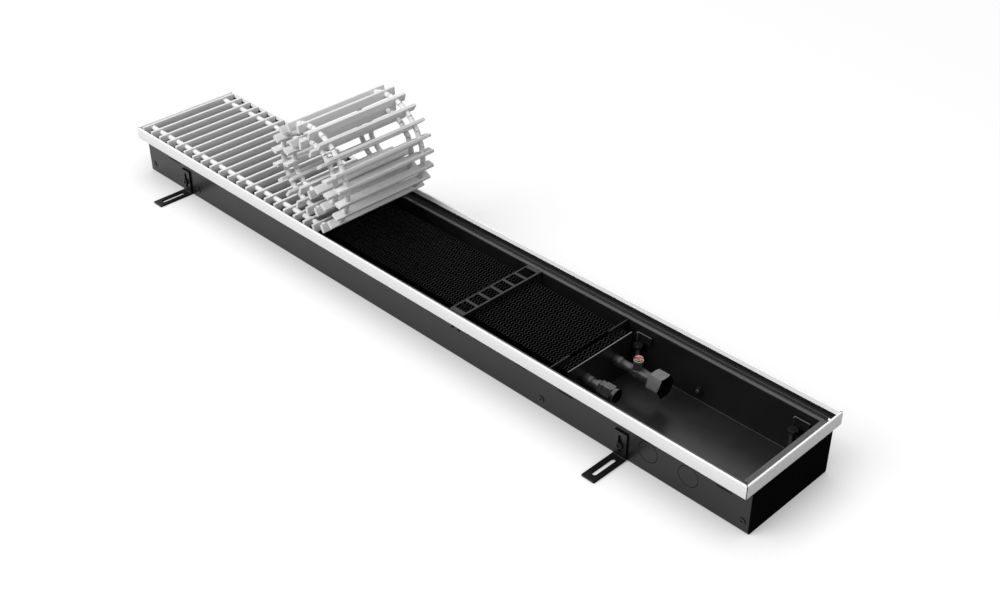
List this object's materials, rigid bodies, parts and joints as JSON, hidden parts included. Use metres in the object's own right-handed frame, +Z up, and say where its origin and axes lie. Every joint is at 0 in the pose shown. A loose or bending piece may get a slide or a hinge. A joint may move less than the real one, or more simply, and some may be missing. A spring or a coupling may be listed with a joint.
{
  "type": "trench convector heater",
  "caption": "Floor-recessed trench convector heater with a finned heat exchanger, levelling feet and a roll-up transverse grille shown part rolled back.",
  "frame": {"origin": "centre of the underside, on the floor slab", "axes": "+X along the trough towards the pipe-connection chamber, -Y towards the front, +Z up"},
  "size_m": [1.295, 0.293, 0.2544],
  "materials": {
    "black_sheet": "semi-gloss powder coat",
    "frame_metal": "satin natural anodised",
    "key_metal": "mill finish",
    "cushion": "smooth profiled strip",
    "fin": "matt black coat",
    "tube": "satin black coat",
    "fitting": "satin dark grey",
    "union_nut": "satin dark grey",
    "vent": "turned, slotted",
    "zinc": "zinc plated",
    "bracket": "semi-gloss black",
    "slat_metal": "satin natural anodised",
    "bush": "light grey, smooth"
  },
  "bodies": {
    "heater": {"trough": "black_sheet", "end_plate_left": "black_sheet", "end_plate_right": "black_sheet", "frame_front": "frame_metal", "frame_back": "frame_metal", "frame_left": "frame_metal", "frame_right": "frame_metal", "corner_keys": "key_metal", "side_cushions": "cushion", "end_cushions": "cushion", "fin_pack": "fin", "exchanger_tubes": "tube", "exchanger_holders": "black_sheet", "partition": "black_sheet", "cross_bracket": "black_sheet", "vent_tee": "fitting", "front_fitting": "fitting", "bracket_screws": "zinc", "wall_rivets": "black_sheet"},
    "grille": {"flat_slats": "slat_metal", "flat_spacers": "bush"},
    "vent": {"vent_screw": "vent"},
    "back_nut": {"back_union_nut": "union_nut"},
    "front_nut": {"front_union_nut": "fitting"},
    "levelling": {"levelling_bolts": "zinc"},
    "feet": {"floor_brackets": "bracket"},
    "roll_1": {"rolled_slat_1": "slat_metal"},
    "roll_2": {"rolled_slat_2": "slat_metal"},
    "roll_3": {"rolled_slat_3": "slat_metal"},
    "roll_4": {"rolled_slat_4": "slat_metal"},
    "roll_5": {"rolled_slat_5": "slat_metal"},
    "roll_6": {"rolled_slat_6": "slat_metal"},
    "roll_7": {"rolled_slat_7": "slat_metal"},
    "roll_8": {"rolled_slat_8": "slat_metal"},
    "roll_9": {"rolled_slat_9": "slat_metal"},
    "roll_10": {"rolled_slat_10": "slat_metal"},
    "roll_11": {"rolled_slat_11": "slat_metal"},
    "roll_12": {"rolled_slat_12": "slat_metal"},
    "roll_13": {"rolled_slat_13": "slat_metal"},
    "roll_14": {"rolled_slat_14": "slat_metal"},
    "roll_15": {"rolled_slat_15": "slat_metal"},
    "roll_16": {"rolled_slat_16": "slat_metal"},
    "roll_17": {"rolled_slat_17": "slat_metal"},
    "roll_18": {"rolled_slat_18": "slat_metal"},
    "roll_19": {"rolled_slat_19": "slat_metal"},
    "roll_20": {"rolled_slat_20": "slat_metal"},
    "roll_21": {"rolled_slat_21": "slat_metal"},
    "roll_22": {"rolled_slat_22": "slat_metal"},
    "roll_23": {"rolled_slat_23": "slat_metal"},
    "roll_24": {"rolled_slat_24": "slat_metal"},
    "roll_25": {"rolled_slat_25": "slat_metal"},
    "roll_26": {"rolled_slat_26": "slat_metal"},
    "roll_27": {"rolled_slat_27": "slat_metal"},
    "roll_28": {"rolled_slat_28": "slat_metal"},
    "roll_29": {"rolled_slat_29": "slat_metal"},
    "roll_30": {"rolled_slat_30": "slat_metal"},
    "roll_31": {"rolled_slat_31": "slat_metal"},
    "roll_32": {"rolled_slat_32": "slat_metal"},
    "roll_33": {"rolled_slat_33": "slat_metal"},
    "roll_34": {"rolled_slat_34": "slat_metal"}
  },
  "joints": [
    {"name": "grille_lift", "type": "slide", "parent": "heater", "child": "grille", "axis": [0, 0, 1], "range_m": [0, 0.25]},
    {"name": "vent_turn", "type": "hinge", "parent": "heater", "child": "vent", "pos_m": [0.372, 0.0305, 0.06], "axis": [0, 0, 1], "range_deg": [0, 360]},
    {"name": "back_nut_turn", "type": "hinge", "parent": "heater", "child": "back_nut", "pos_m": [0.41, 0.0305, 0.0405], "axis": [1, 0, 0], "continuous": true},
    {"name": "front_nut_turn", "type": "hinge", "parent": "heater", "child": "front_nut", "pos_m": [0.377, -0.0305, 0.0405], "axis": [1, 0, 0], "continuous": true},
    {"name": "levelling_travel", "type": "slide", "parent": "heater", "child": "levelling", "axis": [0, 0, -1], "range_m": [0, 0.012]},
    {"name": "foot_travel", "type": "slide", "parent": "heater", "child": "feet", "axis": [0, 0, -1], "range_m": [0, 0.012]},
    {"name": "roll_link_1", "type": "hinge", "parent": "grille", "child": "roll_1", "pos_m": [-0.18675, 0, 0.0817], "axis": [0, 1, 0], "range_deg": [0, 14.9]},
    {"name": "roll_link_2", "type": "hinge", "parent": "roll_1", "child": "roll_2", "pos_m": [-0.16307, 0, 0.088], "axis": [0, 1, 0], "range_deg": [0, 14.9]},
    {"name": "roll_link_3", "type": "hinge", "parent": "roll_2", "child": "roll_3", "pos_m": [-0.14181, 0, 0.10018], "axis": [0, 1, 0], "range_deg": [0, 15.7]},
    {"name": "roll_link_4", "type": "hinge", "parent": "roll_3", "child": "roll_4", "pos_m": [-0.12464, 0, 0.11765], "axis": [0, 1, 0], "range_deg": [0, 16.06]},
    {"name": "roll_link_5", "type": "hinge", "parent": "roll_4", "child": "roll_5", "pos_m": [-0.11297, 0, 0.13919], "axis": [0, 1, 0], "range_deg": [0, 16.42]},
    {"name": "roll_link_6", "type": "hinge", "parent": "roll_5", "child": "roll_6", "pos_m": [-0.10787, 0, 0.16316], "axis": [0, 1, 0], "range_deg": [0, 16.78]},
    {"name": "roll_link_7", "type": "hinge", "parent": "roll_6", "child": "roll_7", "pos_m": [-0.1099, 0, 0.18757], "axis": [0, 1, 0], "range_deg": [0, 17.14]},
    {"name": "roll_link_8", "type": "hinge", "parent": "roll_7", "child": "roll_8", "pos_m": [-0.11904, 0, 0.2103], "axis": [0, 1, 0], "range_deg": [0, 17.5]},
    {"name": "roll_link_9", "type": "hinge", "parent": "roll_8", "child": "roll_9", "pos_m": [-0.13459, 0, 0.22924], "axis": [0, 1, 0], "range_deg": [0, 17.86]},
    {"name": "roll_link_10", "type": "hinge", "parent": "roll_9", "child": "roll_10", "pos_m": [-0.1552, 0, 0.24249], "axis": [0, 1, 0], "range_deg": [0, 18.22]},
    {"name": "roll_link_11", "type": "hinge", "parent": "roll_10", "child": "roll_11", "pos_m": [-0.17892, 0, 0.24863], "axis": [0, 1, 0], "range_deg": [0, 18.58]},
    {"name": "roll_link_12", "type": "hinge", "parent": "roll_11", "child": "roll_12", "pos_m": [-0.20336, 0, 0.24689], "axis": [0, 1, 0], "range_deg": [0, 18.94]},
    {"name": "roll_link_13", "type": "hinge", "parent": "roll_12", "child": "roll_13", "pos_m": [-0.22591, 0, 0.23732], "axis": [0, 1, 0], "range_deg": [0, 19.3]},
    {"name": "roll_link_14", "type": "hinge", "parent": "roll_13", "child": "roll_14", "pos_m": [-0.24403, 0, 0.22083], "axis": [0, 1, 0], "range_deg": [0, 18.9]},
    {"name": "roll_link_15", "type": "hinge", "parent": "roll_14", "child": "roll_15", "pos_m": [-0.25583, 0, 0.19936], "axis": [0, 1, 0], "range_deg": [0, 19.5]},
    {"name": "roll_link_16", "type": "hinge", "parent": "roll_15", "child": "roll_16", "pos_m": [-0.25979, 0, 0.17518], "axis": [0, 1, 0], "range_deg": [0, 20.1]},
    {"name": "roll_link_17", "type": "hinge", "parent": "roll_16", "child": "roll_17", "pos_m": [-0.2552, 0, 0.15112], "axis": [0, 1, 0], "range_deg": [0, 20.7]},
    {"name": "roll_link_18", "type": "hinge", "parent": "roll_17", "child": "roll_18", "pos_m": [-0.2424, 0, 0.13023], "axis": [0, 1, 0], "range_deg": [0, 21.3]},
    {"name": "roll_link_19", "type": "hinge", "parent": "roll_18", "child": "roll_19", "pos_m": [-0.22289, 0, 0.11542], "axis": [0, 1, 0], "range_deg": [0, 21.9]},
    {"name": "roll_link_20", "type": "hinge", "parent": "roll_19", "child": "roll_20", "pos_m": [-0.19925, 0, 0.10895], "axis": [0, 1, 0], "range_deg": [0, 22.5]},
    {"name": "roll_link_21", "type": "hinge", "parent": "roll_20", "child": "roll_21", "pos_m": [-0.17495, 0, 0.11202], "axis": [0, 1, 0], "range_deg": [0, 23.1]},
    {"name": "roll_link_22", "type": "hinge", "parent": "roll_21", "child": "roll_22", "pos_m": [-0.15379, 0, 0.12438], "axis": [0, 1, 0], "range_deg": [0, 23.7]},
    {"name": "roll_link_23", "type": "hinge", "parent": "roll_22", "child": "roll_23", "pos_m": [-0.13939, 0, 0.1442], "axis": [0, 1, 0], "range_deg": [0, 24.3]},
    {"name": "roll_link_24", "type": "hinge", "parent": "roll_23", "child": "roll_24", "pos_m": [-0.13442, 0, 0.1682], "axis": [0, 1, 0], "range_deg": [0, 24.9]},
    {"name": "roll_link_25", "type": "hinge", "parent": "roll_24", "child": "roll_25", "pos_m": [-0.14002, 0, 0.19205], "axis": [0, 1, 0], "range_deg": [0, 25.5]},
    {"name": "roll_link_26", "type": "hinge", "parent": "roll_25", "child": "roll_26", "pos_m": [-0.15534, 0, 0.21117], "axis": [0, 1, 0], "range_deg": [0, 26.1]},
    {"name": "roll_link_27", "type": "hinge", "parent": "roll_26", "child": "roll_27", "pos_m": [-0.17751, 0, 0.2216], "axis": [0, 1, 0], "range_deg": [0, 26.7]},
    {"name": "roll_link_28", "type": "hinge", "parent": "roll_27", "child": "roll_28", "pos_m": [-0.202, 0, 0.22096], "axis": [0, 1, 0], "range_deg": [0, 31.5]},
    {"name": "roll_link_29", "type": "hinge", "parent": "roll_28", "child": "roll_29", "pos_m": [-0.22255, 0, 0.20761], "axis": [0, 1, 0], "range_deg": [0, 32.3]},
    {"name": "roll_link_30", "type": "hinge", "parent": "roll_29", "child": "roll_30", "pos_m": [-0.23278, 0, 0.18536], "axis": [0, 1, 0], "range_deg": [0, 33.1]},
    {"name": "roll_link_31", "type": "hinge", "parent": "roll_30", "child": "roll_31", "pos_m": [-0.2292, 0, 0.16112], "axis": [0, 1, 0], "range_deg": [0, 33.9]},
    {"name": "roll_link_32", "type": "hinge", "parent": "roll_31", "child": "roll_32", "pos_m": [-0.21272, 0, 0.143], "axis": [0, 1, 0], "range_deg": [0, 34.7]},
    {"name": "roll_link_33", "type": "hinge", "parent": "roll_32", "child": "roll_33", "pos_m": [-0.18884, 0, 0.13749], "axis": [0, 1, 0], "range_deg": [0, 35.5]},
    {"name": "roll_link_34", "type": "hinge", "parent": "roll_33", "child": "roll_34", "pos_m": [-0.16621, 0, 0.14686], "axis": [0, 1, 0], "range_deg": [0, 36.3]}
  ],
  "couplings": [
    {"joint": "roll_link_14", "follows": "roll_link_4", "ratio": 1.1768},
    {"joint": "roll_link_24", "follows": "roll_link_4", "ratio": 1.5504},
    {"joint": "roll_link_15", "follows": "roll_link_5", "ratio": 1.1876},
    {"joint": "roll_link_25", "follows": "roll_link_5", "ratio": 1.553},
    {"joint": "roll_link_32", "follows": "roll_link_5", "ratio": 2.1133},
    {"joint": "roll_link_16", "follows": "roll_link_6", "ratio": 1.1979},
    {"joint": "roll_link_26", "follows": "roll_link_6", "ratio": 1.5554},
    {"joint": "roll_link_33", "follows": "roll_link_6", "ratio": 2.1156},
    {"joint": "roll_link_17", "follows": "roll_link_7", "ratio": 1.2077},
    {"joint": "roll_link_27", "follows": "roll_link_7", "ratio": 1.5578},
    {"joint": "roll_link_34", "follows": "roll_link_7", "ratio": 2.1179},
    {"joint": "roll_link_18", "follows": "roll_link_8", "ratio": 1.2171},
    {"joint": "roll_link_28", "follows": "roll_link_8", "ratio": 1.8},
    {"joint": "roll_link_19", "follows": "roll_link_9", "ratio": 1.2262},
    {"joint": "roll_link_29", "follows": "roll_link_9", "ratio": 1.8085},
    {"joint": "roll_link_20", "follows": "roll_link_10", "ratio": 1.2349},
    {"joint": "roll_link_21", "follows": "roll_link_11", "ratio": 1.2433},
    {"joint": "roll_link_30", "follows": "roll_link_11", "ratio": 1.7815},
    {"joint": "roll_link_22", "follows": "roll_link_12", "ratio": 1.2513},
    {"joint": "roll_link_23", "follows": "roll_link_13", "ratio": 1.2591},
    {"joint": "roll_link_31", "follows": "roll_link_13", "ratio": 1.7565}
  ]
}
